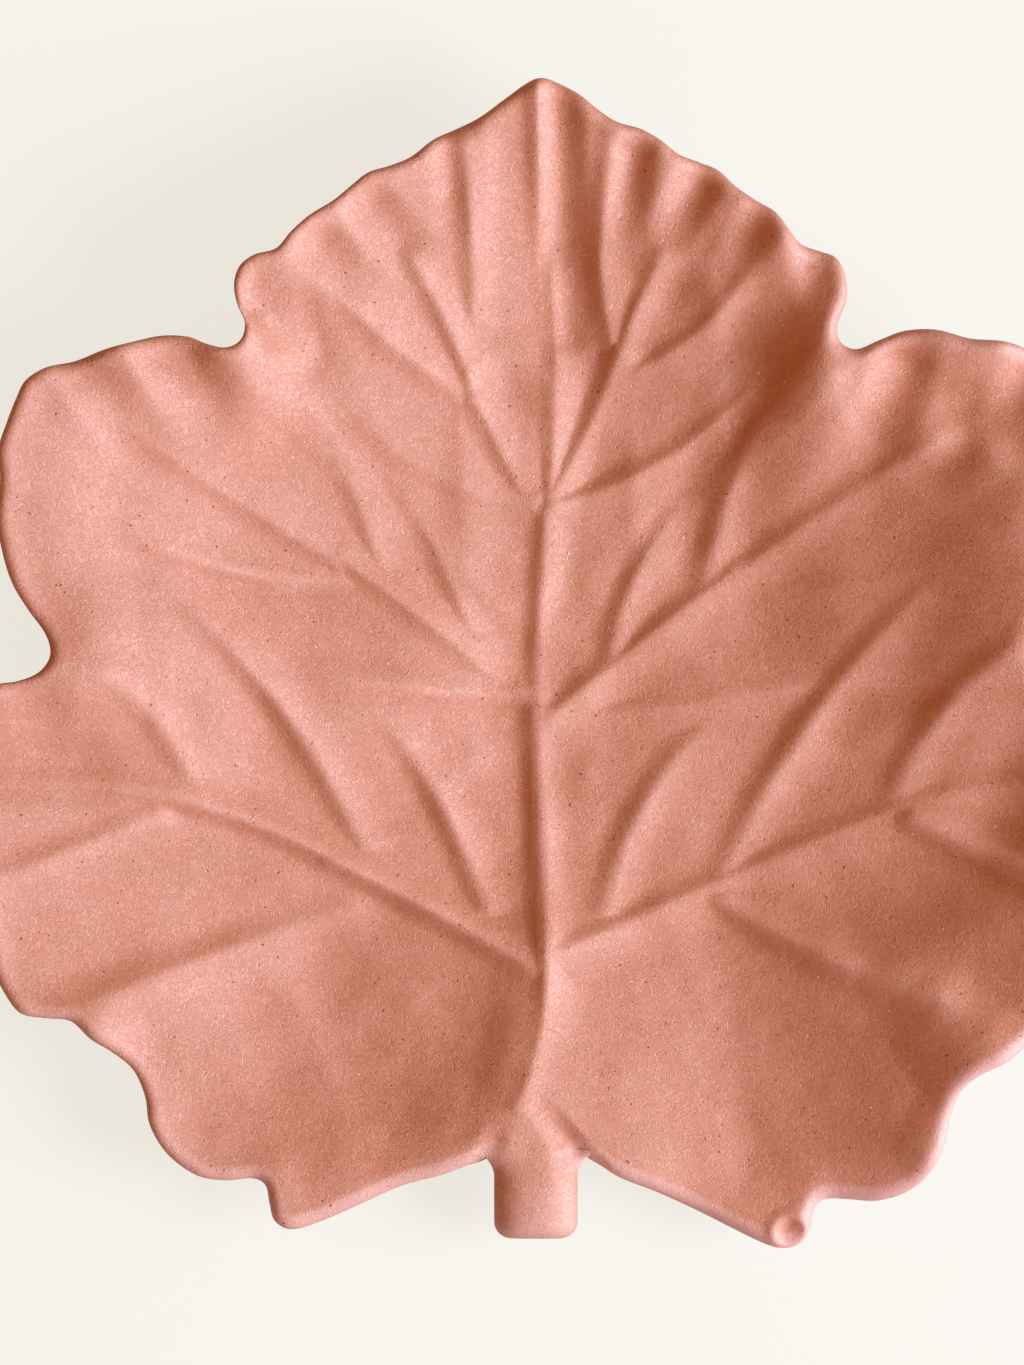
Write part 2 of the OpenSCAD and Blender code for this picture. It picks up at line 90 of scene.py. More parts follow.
# The drawing grid: places on the leaf are given on it, x to the right and y down, and span_px is the
# width and length of the leaf on it
mid_px = (543, 664)
span_px = (1240, 1170)
hub_px = (543, 700)
root_px = (536, 1150)
dimple_px = (792, 1234)
spine_x_px = 543
step = np.array([leaf_w / span_px[0], leaf_l / span_px[1]])

# Outline of the blade, from the stem round the left side to the tip and back down the right side
outline_px = [
  [522, 1150], [508, 1150], [495, 1153], [484, 1161], [468, 1166], [440, 1176], [400, 1187],
  [355, 1207], [315, 1224], [289, 1230], [273, 1221], [268, 1203], [264, 1186], [251, 1179],
  [224, 1181], [195, 1176], [166, 1155], [148, 1126], [143, 1097], [131, 1070], [110, 1052],
  [89, 1039], [69, 1021], [45, 1018], [19, 1013], [3, 993], [-9, 968], [-14, 942], [-25, 917],
  [-40, 895], [-45, 868], [-52, 842], [-66, 817], [-77, 788], [-70, 762], [-53, 743], [-42, 719],
  [-27, 697], [-6, 685], [18, 681], [39, 672], [50, 655], [45, 634], [28, 610], [12, 583],
  [2, 550], [-3, 515], [1, 480], [-1, 452], [8, 424], [17, 401], [27, 382], [48, 369], [75, 363],
  [103, 352], [131, 344], [161, 337], [188, 338], [206, 345], [225, 349], [240, 342], [245, 325],
  [237, 305], [234, 285], [240, 267], [255, 256], [276, 250], [291, 233], [309, 217], [333, 202],
  [350, 188], [368, 174], [390, 167], [411, 158], [433, 141], [456, 130], [480, 118], [506, 99],
  [527, 84],
  [541, 79], [556, 83], [579, 95], [600, 112], [618, 123], [642, 130], [661, 141], [679, 155],
  [700, 163], [719, 171], [736, 187], [756, 201], [776, 213], [789, 230], [801, 245], [820, 252],
  [837, 259], [846, 278], [847, 302], [838, 325], [841, 343], [857, 350], [880, 341], [905, 332],
  [936, 331], [970, 340], [1004, 343], [1032, 353], [1058, 369], [1075, 390], [1083, 416],
  [1092, 445], [1087, 477], [1091, 508], [1088, 541], [1077, 574], [1061, 603], [1046, 628],
  [1040, 651], [1049, 670], [1070, 680], [1096, 685], [1118, 699], [1131, 721], [1142, 744],
  [1157, 763], [1163, 788], [1153, 816], [1139, 841], [1134, 868], [1126, 894], [1110, 918],
  [1099, 944], [1092, 971], [1078, 998], [1056, 1019], [1033, 1038], [1008, 1060], [980, 1074],
  [962, 1090], [952, 1113], [945, 1146], [932, 1171], [910, 1191], [880, 1201], [850, 1200],
  [827, 1200], [816, 1210], [812, 1229], [801, 1245], [782, 1249], [762, 1243], [733, 1229],
  [697, 1211], [658, 1193], [622, 1179], [602, 1167], [588, 1159], [577, 1151], [564, 1150],
  [543, 1150],
]

# Rise of the rim, and how far it flares out flat, at every 30 degrees clockwise from the stem, as
# shares of dish_rise and rim_flare
rise_shares = [0.16, 0.44, 0.66, 0.88, 1.00, 0.92, 0.66, 0.88, 1.08, 1.08, 1.00, 0.48]
flare_shares = [0.20, 0.60, 0.00, -0.50, -0.60, -0.80, 0.20, 1.10, 1.30, 1.30, 1.10, 0.60]

# Folds and ruffles, then the broad ridges under the main veins: start, end, heights evenly along it as
# shares of fold_h, and half width at the start and end as shares of fold_w
folds_px = [
  [[280, 1215], [380, 980], [-0.28, -0.10], [3.2, 3.2]],
  [[800, 1230], [700, 980], [-0.60, -0.10], [3.2, 3.2]],
  [[120, 670], [400, 670], [0.55, 0.60], [2.2, 2.2]],
  [[780, 880], [1010, 800], [-0.55, -0.70], [2.4, 2.4]],
  [[760, 600], [760, 470], [-0.45, -0.40], [2.0, 2.0]],
  [[1010, 700], [1020, 470], [0.35, 0.50, 0.40], [2.2, 2.2]],
  [[160, 1060], [200, 1160], [-0.40, -0.40], [1.6, 1.6]],
  [[230, 960], [300, 960], [-0.25, -0.25], [1.8, 1.8]],
  [[530, 680], [530, 760], [-0.32, -0.28], [1.3, 1.3]],
  [[110, 390], [230, 410], [0.40, 0.45], [1.5, 1.5]],
  [[880, 375], [1020, 390], [-0.45, -0.55], [1.2, 1.2]],
  [[912, 985], [996, 1076], [0.22, 0.56, 0.72, 0.62], [1.1, 1.5]],
  [[530, 400], [500, 560], [0.40, 0.40], [1.6, 1.6]],
  [[825, 262], [835, 300], [-0.60, -0.30], [0.8, 0.8]],
  [[518, 60], [530, 340], [-0.24, -0.10], [1.5, 1.3]],
  [[720, 170], [720, 320], [-0.40, -0.45], [1.4, 1.4]],
  [[10, 688], [150, 705], [0.60, 0.50, 0.10], [1.1, 1.0]],
  [[-20, 768], [180, 778], [-0.40, -0.30, 0.00], [0.9, 0.9]],
  [[558, 90], [568, 330], [-0.38, -0.20], [0.60, 0.60]],
  [[640, 122], [620, 245], [-0.10, -0.50, -0.36, -0.18, 0], [0.62, 0.60]],
  [[714, 158], [656, 260], [-0.10, -0.50, -0.42, -0.20, 0], [0.64, 0.62]],
  [[775, 196], [722, 296], [-0.10, -0.42, -0.32, -0.15, 0], [0.62, 0.62]],
  [[808, 258], [716, 430], [-0.15, -0.48, -0.46, -0.30, -0.10], [0.90, 1.2]],
  [[872, 345], [745, 520], [0.45, 0.70, 0.60, 0.35, 0], [1.8, 1.5]],
  [[350, 186], [424, 270], [-0.10, -0.40, -0.30, -0.15, 0], [0.72, 0.68]],
  [[304, 222], [366, 300], [-0.10, -0.40, -0.30, -0.15, 0], [0.72, 0.68]],
  [[252, 270], [330, 390], [-0.20, -0.50, -0.40, -0.20, 0], [0.80, 0.92]],
  [[236, 345], [300, 450], [0.60, 0], [1.0, 1.2]],
  [[159, 334], [225, 450], [-0.60, 0], [0.84, 1.0]],
  [[76, 356], [180, 480], [-0.58, 0], [0.76, 1.0]],
  [[916, 330], [876, 450], [-0.20, -0.62, -0.50, -0.25, 0], [0.76, 0.84]],
  [[1036, 350], [914, 490], [-0.05, -0.20, -0.32, -0.25, 0], [0.9, 0.9]],
  [[455, 120], [462, 240], [-0.40, 0], [0.68, 0.60]],
  [[538, 1200], [546, 960], [1.25, 1.15, 0.90, 0.50, 0.15], [3.4, 2.4]],
  [[500, 1130], [524, 985], [0.12, 0.16, 0.10], [0.8, 0.8]],
  [[498, 1126], [486, 1160], [-0.05, -0.22], [0.34, 0.36]],
  [[543, 1112], [590, 1170], [-0.05, -0.38, -0.42], [0.36, 0.40]],
  [[190, 1090], [320, 1040], [-0.50, -0.54], [2.4, 2.2]],
  [[20, 955], [360, 940], [-0.38, -0.26], [1.8, 1.8]],
  [[650, 990], [670, 1150], [0.30, 0.34], [1.8, 1.8]],
  [[130, 430], [160, 740], [0.36, 0.36], [2.4, 2.2]],
  [[345, 730], [425, 745], [0.25, 0.16], [1.6, 1.6]],
  [[600, 230], [590, 440], [-0.26, -0.36], [1.9, 1.9]],
  [[680, 880], [830, 740], [-0.24, -0.24], [2.3, 2.3]],
  [[940, 480], [1010, 500], [0.32, 0.34], [1.6, 1.6]],
  [[1000, 820], [1040, 740], [-0.26, -0.34], [1.3, 1.3]],
  [[276, 290], [290, 350], [0.30, 0.30], [0.7, 0.7]],
  [[40, 430], [70, 640], [0.40, 0.40], [1.7, 1.7]],
  [[370, 1190], [440, 1130], [0.24, 0.24], [1.4, 1.4]],
  [[240, 1030], [280, 1130], [-0.22, -0.22], [1.4, 1.4]],
  [[860, 905], [990, 870], [-0.22, -0.26], [2.0, 2.0]],
  [[230, 740], [350, 750], [0.20, 0.20], [1.8, 1.8]],
  [[600, 700], [670, 580], [-0.20, -0.20], [1.5, 1.5]],
  [[660, 385], [735, 262], [0.14, 0.20], [0.9, 0.8]],
  [[832, 390], [772, 520], [0.12, 0.22, 0.10], [1.0, 1.0]],
  [[505, 400], [510, 560], [-0.42, -0.30], [1.0, 1.0]],
  [[672, 300], [680, 520], [-0.34, -0.34], [1.0, 1.0]],
  [[890, 390], [930, 430], [0.34, 0.34], [0.9, 0.9]],
  [[1062, 350], [1040, 430], [-1.00, -0.80], [1.3, 1.3]],
  [[934, 1150], [1000, 1062], [0.24, 0.22], [0.9, 0.9]],
  [[850, 1204], [905, 1194], [-0.22, -0.24], [0.9, 0.9]],
  [[-10, 985], [60, 1025], [-0.16, -0.16], [0.9, 0.9]],
]
ridges_px = [
  [[526, 1104], [549, 950], [0.24, 0.28, 0.22], [1.5, 1.9]],
  [[540, 950], [60, 780], [0.30, 0.20], [2.0, 1.8]],
  [[548, 945], [1060, 780], [0.30, 0.20], [2.0, 1.8]],
  [[536, 705], [130, 420], [0.25, 0.10], [1.8, 1.6]],
  [[548, 705], [930, 450], [0.25, 0.10], [1.8, 1.6]],
]

# Veins: start, end, bow to the side, heights at the start, middle and end as shares of vein_h, and
# half width at the start and end as shares of vein_w
veins_px = [
  [[517, 1106], [545, 955], 11, [0.26, 0.38, 0.88], [0.70, 0.76]],
  [[512, 1108], [444, 1158], -4, [0.10, 0.12, 0.05], [0.85, 0.75]],
  [[546, 955], [535, 712], 0, [0.88, 1.00, 0.70], [0.74, 0.68]],
  [[535, 700], [546, 508], 0, [0.50, 0.68, 0.42], [0.70, 0.66]],
  [[550, 497], [553, 290], 5, [0.40, 0.33, 0.39], [0.75, 0.70]],
  [[553, 290], [554, 258], 0, [0.42, 0.32, 0.10], [0.70, 0.65]],
  [[541, 245], [538, 84], 0, [0.10, 0.62, 0.85], [0.70, 0.80]],
  [[548, 958], [906, 805], -2, [0.70, 0.50, 0.48], [0.90, 0.80]],
  [[906, 803], [1130, 770], -3, [0.44, 0.30, 0.20], [0.80, 0.70]],
  [[546, 976], [329, 859], 3, [0.35, 1.40, 1.25], [0.80, 0.78]],
  [[330, 858], [75, 782], 14, [1.15, 1.15, 0.40], [0.78, 0.60]],
  [[75, 782], [-50, 780], 0, [0.30, 0.15, 0.05], [0.65, 0.60]],
  [[545, 722], [738, 569], -2, [0.62, 0.60, 0.60], [0.88, 0.85]],
  [[741, 573], [974, 420], -4, [0.54, 0.44, 0.10], [0.85, 0.80]],
  [[528, 708], [340, 558], 5, [0.14, 0.66, 0.68], [0.80, 0.78]],
  [[337, 562], [90, 404], -3, [0.62, 0.32, 0.08], [0.82, 0.74]],
  [[556, 491], [620, 352], 4, [0.45, 0.72, 0.90], [0.80, 0.85]],
  [[620, 352], [663, 258], -2, [0.55, 0.68, 0.30], [0.78, 0.70]],
  [[528, 502], [475, 399], 0, [0.30, 0.62, 0.65], [0.85, 0.80]],
  [[476, 398], [412, 262], 5, [0.48, 0.66, 0.40], [0.80, 0.62]],
  [[615, 351], [601, 255], -3, [0.44, 0.78, 0.80], [0.70, 0.75]],
  [[601, 255], [619, 132], -3, [0.74, 0.62, 0.42], [0.75, 0.80]],
  [[473, 318], [464, 146], 3, [0.26, 0.64, 0.80], [0.70, 0.85]],
  [[634, 370], [743, 282], 12, [0.46, 0.50, 0.26], [0.70, 0.72]],
  [[464, 398], [383, 339], 0, [0.14, 0.62, 0.76], [0.80, 0.85]],
  [[384, 338], [305, 269], 0, [0.76, 0.50, 0.04], [0.85, 0.80]],
  [[551, 505], [749, 391], 18, [0.50, 0.58, 0.32], [0.80, 0.75]],
  [[533, 504], [349, 407], -20, [0.45, 0.32, 0.07], [0.80, 0.75]],
  [[552, 716], [820, 682], 6, [0.15, 0.35, 0.10], [0.75, 0.70]],
  [[526, 694], [300, 668], -8, [0.45, 0.55, 0.12], [0.68, 0.64]],
  [[611, 661], [687, 504], -14, [0.58, 0.68, 0.12], [0.76, 0.76]],
  [[705, 592], [764, 423], -8, [0.45, 0.74, 0.42], [0.88, 0.90]],
  [[750, 588], [940, 560], 14, [0.10, 0.12, 0.05], [0.80, 0.70]],
  [[467, 624], [401, 491], 5, [0.34, 0.46, 0.08], [0.78, 0.72]],
  [[380, 574], [336, 461], 5, [0.39, 0.44, 0.10], [0.78, 0.70]],
  [[345, 580], [130, 535], -14, [0.25, 0.75, 0.20], [0.64, 0.54]],
  [[606, 907], [701, 731], -15, [0.52, 0.86, 0.22], [0.85, 0.85]],
  [[722, 876], [919, 597], -16, [0.42, 0.95, 0.32], [0.88, 0.88]],
  [[896, 795], [1016, 646], -15, [0.45, 0.92, 0.44], [0.90, 0.90]],
  [[721, 901], [938, 994], 9, [0.60, 1.70, 0.75], [0.78, 1.15]],
  [[912, 820], [1100, 905], 0, [1.05, 1.60, 0.90], [0.76, 0.76]],
  [[362, 847], [163, 582], 18, [0.55, 1.00, 0.12], [0.85, 0.80]],
  [[484, 908], [390, 726], 9, [0.66, 1.00, 0.12], [0.82, 0.76]],
  [[188, 779], [106, 677], 11, [0.32, 0.62, 0.20], [0.80, 0.80]],
  [[352, 909], [66, 1012], 4, [0.25, 0.80, 0.35], [0.86, 1.20]],
  [[159, 814], [-19, 887], 0, [0.38, 0.64, 0.32], [0.82, 0.80]],
]

# The spine that the mesh fans out from: share of the way round half the outline, and how far down
spine_px = [[0, 1100], [0.06, 1060], [0.13, 985], [0.30, 940], [0.47, 880], [0.58, 735], [0.66, 690],
  [0.78, 600], [0.88, 490], [0.96, 330], [1, 180]]


def place(spot_px):
    """Where a place on the drawing grid lies on the leaf."""
    x_px, y_px = np.moveaxis(np.asarray(spot_px, float), -1, 0)
    return np.stack([(x_px - mid_px[0]) * step[0], (mid_px[1] - y_px) * step[1]], -1)


def distance(places, spot):
    """How far places are from a spot, in plan."""
    return np.hypot(places[..., 0] - spot[0], places[..., 1] - spot[1])


def ease(x):
    """From 0 to 1 with soft ends."""
    t = np.clip(x, 0, 1)
    return t * t * (3 - 2 * t)


def closed_curve(values, x):
    """A smooth curve through a closed list of values, read at places x counted in its steps."""
    values = np.asarray(values, float)
    i = np.floor(x).astype(int)
    t = (x - i).reshape((-1,) + (1,) * (values.ndim - 1))
    a, b, c, d = (values[(i + k) % len(values)] for k in (-1, 0, 1, 2))
    return (2 * b + (c - a) * t + (2 * a - 5 * b + 4 * c - d) * t**2 + (3 * b - a - 3 * c + d) * t**3) / 2


hub = place(hub_px)
root = place(root_px)


def cut_edge(fine):
    """The blade's edge in plan, kept straight where the stem is joined."""
    count = len(outline_px) * fine
    edge = place(closed_curve(outline_px, np.arange(count) / fine))
    seat = (abs(edge[:, 0] - root[0]) < stem_w / 2) & (edge[:, 1] < root[1] + wall_t)
    edge[seat, 1] = root[1]
    return edge


def turn(places):
    """Clockwise angle from the stem, as seen from the hub of the veins."""
    return np.degrees(np.arctan2(hub[0] - places[..., 0], hub[1] - places[..., 1])) % 360


# The edge's reach from the hub at each angle. The stem's own angle is set to where the stem is joined
rough_fine = 2
seam_turn = 0.5
rough_edge = cut_edge(rough_fine)
rough_turn = turn(rough_edge)
rough_edge = rough_edge[(rough_turn > seam_turn) & (rough_turn < 360 - seam_turn)]
reach_turn = np.concatenate([[0], turn(rough_edge), [360]])
reach_far = np.concatenate([[hub[1] - root[1]], distance(rough_edge, hub), [hub[1] - root[1]]])


def reach(angle):
    """How far the edge is from the hub at an angle."""
    return np.interp(angle % 360, reach_turn, reach_far)


# The same reach with the lobes smoothed away, every few degrees, from weights of the angles near by
soft_step = 15
near_turns = {-24: 1, -16: 2, -8: 3, 0: 4, 8: 3, 16: 2, 24: 1}
soft_reach = [sum(weight * reach(angle + near) for near, weight in near_turns.items())
              / sum(near_turns.values()) for angle in range(0, 360, soft_step)]
share_step = 360 / len(rise_shares)


def stroke(places, row, bow, heights, widths, sides=None):
    """Height of one bowed stroke: a soft fold or, given a share of the width for each side, a crest."""
    start, end = place(row[0]), place(row[1])
    length = math.dist(start, end)
    along = (end - start) / length
    far = length / 2 + max(widths) * vein_sides[1] + abs(bow) * step[0]
    near = distance(places, (start + end) / 2) < far
    ahead = (places[near] - start) @ along
    aside = (places[near] - start) @ np.array([-along[1], along[0]])
    u = np.clip(ahead / length, 0, 1)
    aside = aside + 4 * bow * step[0] * u * (1 - u)
    width = widths[0] + (widths[1] - widths[0]) * u
    if sides:
        aside /= np.where(aside * along[1] > 0, *sides)
    r = np.hypot(aside, ahead - u * length) / width
    if sides:
        fall = np.clip(1 + crest_share - np.sqrt(r * r + crest_share**2), 0, 1) ** 2
    else:
        fall = np.clip(1 - r * r, 0, 1) ** 2
    z = np.zeros(len(places))
    z[near] = np.interp(u, np.linspace(0, 1, len(heights)), heights) * fall
    return z


def bowl_z(places):
    """Height of the upper side without its veins."""
    angle = turn(places)
    soft = closed_curve(soft_reach, angle / soft_step)
    out = distance(places, hub)
    share = out / (soft + (reach(angle) - soft) * lobe_share)
    z = foot_h + wall_t + dish_rise * closed_curve(rise_shares, angle / share_step) * share**rise_power
    z -= rim_flare * closed_curve(flare_shares, angle / share_step) * (
        np.clip(out / reach(angle) - flare_share, 0, None) / (1 - flare_share)) ** 2
    for rows, sides in ((folds_px, None), (ridges_px, ridge_sides)):
        for row in rows:
            z += stroke(places, row, 0, np.array(row[2]) * fold_h, np.array(row[3]) * fold_w, sides)
    return z


def vein_z(places):
    """Height of the veins alone. Where two meet, the higher one shows."""
    z = np.zeros(len(places))
    for row in veins_px:
        heights, widths = np.array(row[3]) * vein_h, np.array(row[4]) * vein_w
        z = np.maximum(z, stroke(places, row, row[2], heights, widths, vein_sides))
    return z


def under_z(places, top):
    """Height of the underside: a flat pad over the foot ring, and a swelling under the stem."""
    away = np.hypot((places[:, 0] - root[0]) / swell_w, (places[:, 1] - root[1]) / swell_l)
    swell = (stem_t - wall_t) * np.clip(1 - away**2, 0, 1) ** 2
    out = ease((distance(places, hub) - foot_r - pad_past) / pad_fade)
    return foot_h + (top - wall_t - swell - foot_h) * out


def upper_side(places):
    """The places lifted to the blade's upper side."""
    dimple = distance(places, place(dimple_px)) / dimple_r
    z = bowl_z(places) + vein_z(places)
    z -= dimple_h * np.clip(1 - dimple**2, 0, 1)
    z += dimple_lip_h * np.clip(1 - ((dimple - dimple_lip_at) / dimple_lip_w) ** 2, 0, 1)
    return np.column_stack([places, z])


def under_side(places):
    """The places lifted to the blade's underside."""
    return np.column_stack([places, under_z(places, bowl_z(places))])


def placed(name, data):
    """A new object in the scene."""
    made = bpy.data.objects.new(name, data)
    bpy.context.scene.collection.objects.link(made)
    return made


def band(low, high):
    """Faces between two closed rows, from the numbers of their points."""
    return np.stack([low, np.roll(low, -1), np.roll(high, -1), high], -1)


weld = 1e-6
corner_turn = 50


def clay_piece(name, rows, faces):
    """A closed piece from rows of points, smooth but for its corners."""
    mesh = bpy.data.meshes.new(name)
    mesh.from_pydata(np.concatenate(rows).tolist(), [], faces.tolist())
    clay = bmesh.new()
    clay.from_mesh(mesh)
    bmesh.ops.remove_doubles(clay, verts=clay.verts, dist=weld)
    bmesh.ops.recalc_face_normals(clay, faces=clay.faces)
    clay.to_mesh(mesh)
    clay.free()
    mesh.shade_smooth()
    mesh.set_sharp_from_angle(angle=math.radians(corner_turn))
    return placed(name, mesh)


def mark(piece, name, values):
    """Gives each point of a piece a value that its material reads."""
    piece.data.attributes.new(name, "FLOAT", "POINT").data.foreach_set("value", values)


# Steps of the mesh: between two points of the outline, from the spine to the lip and round the lip.
# Under the blade each row lies at a share of the way out
around = 5
rings = 78
lip_steps = 10
under_shares = (1, 0.97, 0.91, 0.84, 0.76, 0.68, 0.60, 0.52, 0.44, 0.36, 0.28, 0.20, 0.12, 0.06)

edge = cut_edge(around)
count = len(edge)
heading = np.roll(edge, -1, 0) - np.roll(edge, 1, 0)
heading /= np.hypot(heading[:, 0], heading[:, 1])[:, None]
rounded = np.where(edge[:, 1] == root[1], 0, ease((distance(edge, root) - stem_w / 2) / wall_t))
inward = np.column_stack([heading[:, 1], -heading[:, 0]]) * (rounded * lip_r)[:, None]
half_way = np.minimum(np.arange(count), count - np.arange(count)) * 2 / count
spine_y_px = np.interp(half_way, *np.array(spine_px).T)
spine = place(np.column_stack([np.full(count, spine_x_px), spine_y_px]))
keel = spine[: count // 2 + 1]

rows = [upper_side(keel)]
for ring in range(1, rings + 1):
    rows.append(upper_side(spine + (edge + inward - spine) * ring / rings))
for lip_turn in np.linspace(0, math.pi, lip_steps + 1)[1:-1]:
    places = edge + inward * (1 - math.sin(lip_turn))
    top, low = upper_side(places), under_side(places)
    rows.append(top + (low - top) * (1 - math.cos(lip_turn)) / 2)
for share in under_shares:
    rows.append(under_side(spine + (edge + inward - spine) * share))
rows.append(under_side(keel))

# The first and last rows are the keel, half as long, which both sides of the leaf share
here = np.arange(count)
keel_here = np.minimum(here, count - here)
starts = np.cumsum([0] + [len(row) for row in rows])
faces = [band(starts[k] + here, starts[k + 1] + here) for k in range(1, len(rows) - 2)]
faces.append(band(keel_here, starts[1] + here))
faces.append(band(starts[-3] + here, starts[-2] + keel_here))
blade = clay_piece("blade", rows, np.concatenate(faces))

# The material reads how high a vein stands, on the upper side only, and how close the rim is, for the
# painted highlights on the veins and the rim
up_share = 0.2
spots = np.array([v.co for v in blade.data.vertices])
facing_up = np.array([v.normal.z for v in blade.data.vertices]) > up_share
mark(blade, "vein", vein_z(spots[:, :2]) / vein_h * facing_up)
near_edge = kdtree.KDTree(count)
for k, (x, y) in enumerate(edge):
    if y != root[1]:
        near_edge.insert((x, y, 0), k)
near_edge.balance()


def rim_share(x, y):
    """1 at the blade's edge and 0 from rim_w inside it."""
    return max(0, 1 - near_edge.find((x, y, 0))[2] / rim_w)


mark(blade, "rim", [rim_share(x, y) for x, y, _ in spots])


class Wire:
    """A socket of a material or of geometry nodes. Sums written with it become Math nodes."""

    def __init__(self, tree, socket=None):
        self.tree = tree
        self.socket = socket

    def add(self, kind, settings=None, sockets=None, out=0):
        """Adds a node: its settings first, then values or wires for its sockets."""
        node = self.tree.nodes.new(kind)
        for name, value in (settings or {}).items():
            setattr(node, name, value)
        live = [s for s in node.inputs if s.enabled]
        for name, value in (sockets or {}).items():
            socket = self.pick(live, name)
            if isinstance(value, Wire):
                self.tree.links.new(value.socket, socket)
            else:
                socket.default_value = value
        shown = [s for s in node.outputs if s.enabled]
        return Wire(self.tree, self.pick(shown, out)) if shown else node

    @staticmethod
    def pick(sockets, name):
        """A socket by its name, or by its number among those in use."""
        return sockets[name] if isinstance(name, int) else next(s for s in sockets if s.name == name)

    def math(self, operation, *values, clamp=False):
        """One Math node on these values or wires."""
        settings = {"operation": operation, "use_clamp": clamp}
        return self.add("ShaderNodeMath", settings, dict(enumerate(values)))

    def __add__(self, other):
        return self.math("ADD", self, other)

    __radd__ = __add__

    def __sub__(self, other):
        return self.math("SUBTRACT", self, other)

    def __rsub__(self, other):
        return self.math("SUBTRACT", other, self)

    def __mul__(self, other):
        return self.math("MULTIPLY", self, other)

    __rmul__ = __mul__

    def __truediv__(self, other):
        return self.math("DIVIDE", self, other)

    def __rtruediv__(self, other):
        return self.math("DIVIDE", other, self)

    def __abs__(self):
        return self.math("ABSOLUTE", self)

    def between(self, low, high):
        """0 at low and 1 at high, with soft ends."""
        return self.add("ShaderNodeMapRange", {"interpolation_type": "SMOOTHSTEP"},
                        {"Value": self, "From Min": low, "From Max": high})

    def cloud(self, size, detail=2.0, **more):
        """Soft noise on these places, with features of that size in metres."""
        sockets = {"Vector": self, "Scale": 1 / size, "Detail": detail, **more}
        return self.add("ShaderNodeTexNoise", None, sockets)

    def grit(self, size, radius, kept):
        """Round dots in cells of that size, of which only a share is kept."""
        sockets = {"Vector": self, "Scale": 1 / size}
        far = self.add("ShaderNodeTexVoronoi", None, sockets, "Distance")
        draw = self.add("ShaderNodeTexVoronoi", None, sockets, "Color")
        draw = self.add("ShaderNodeSeparateColor", None, {"Color": draw}, "Red")
        dot = 1 - far.between(dot_edge[0] * radius / size, dot_edge[1] * radius / size)
        return dot * draw.between(draw_edge[0] - kept, draw_edge[1] - kept)

    def tint(self, mask, strength, colour):
        """This colour with another over it, where the mask is."""
        sockets = {"Factor": mask * strength, "A": self, "B": colour}
        return self.add("ShaderNodeMix", {"data_type": "RGBA"}, sockets)


def emptied(holder):
    """A new material or world with its nodes taken out, and a wire to build it with."""
    holder.use_nodes = True
    holder.node_tree.nodes.clear()
    return holder, Wire(holder.node_tree)


# The soft edge of a dot of grit, in its radii, and the soft edge of the draw for which dots are kept
dot_edge = (0.6, 1.4)
draw_edge = (1.02, 1.06)

# What shows in the clay's face: broad and small clouds of colour, fine grain, pale and dark crazing,
# and pinholes and flecks, each with its cell, its radius and the share of cells that holds one
broad_l, patch_l, grain_l = 0.030, 0.006, 0.0008
cloud_detail = 3.0
craze_l, craze_twist, craze_w = 0.0013, 1.6, 0.07
pale_at, dark_at = 0.57, 0.43
pinholes = (0.0030, 0.00030, 0.55)
flecks = (0.0061, 0.00022, 0.20)

# How pale the clay is: worn by rubbing everywhere and by the clouds, darker by painted shade for a metre
# of depth in a hollow, and paler on a vein by rubbing and a painted highlight
rub_all, rub_broad, rub_patch, hollow_painted_shade, vein_rub_and_highlight = 0.45, 0.9, 0.8, 1100, 0.22

# What shows over the body colour, with its strength. The pale rim is a painted highlight, on the near
# right side only, where the lamps stand
pale_tint = (0.34, (0.90, 0.50, 0.31, 1))
dark_tint = (0.42, (0.42, 0.13, 0.07, 1))
rim_highlight_tint = (0.50, (0.86, 0.53, 0.44, 1))
pin_tint = (0.45, (0.30, 0.07, 0.04, 1))
fleck_tint = (0.7, (1.0, 0.85, 0.75, 1))
rim_edge = (0.15, 0.50)
lamp_side_edge = (-0.10, 0.14)

# Relief too fine for the mesh, as shares of relief_h, and the gloss of the fired face
relief_h = 0.001
relief_strength = 0.8
craze_relief, grain_relief, patch_relief, pin_relief = 0.034, 0.035, 0.16, 0.06
rough_change = 0.25
clay_gloss = 1.0
clay_ior = 1.75


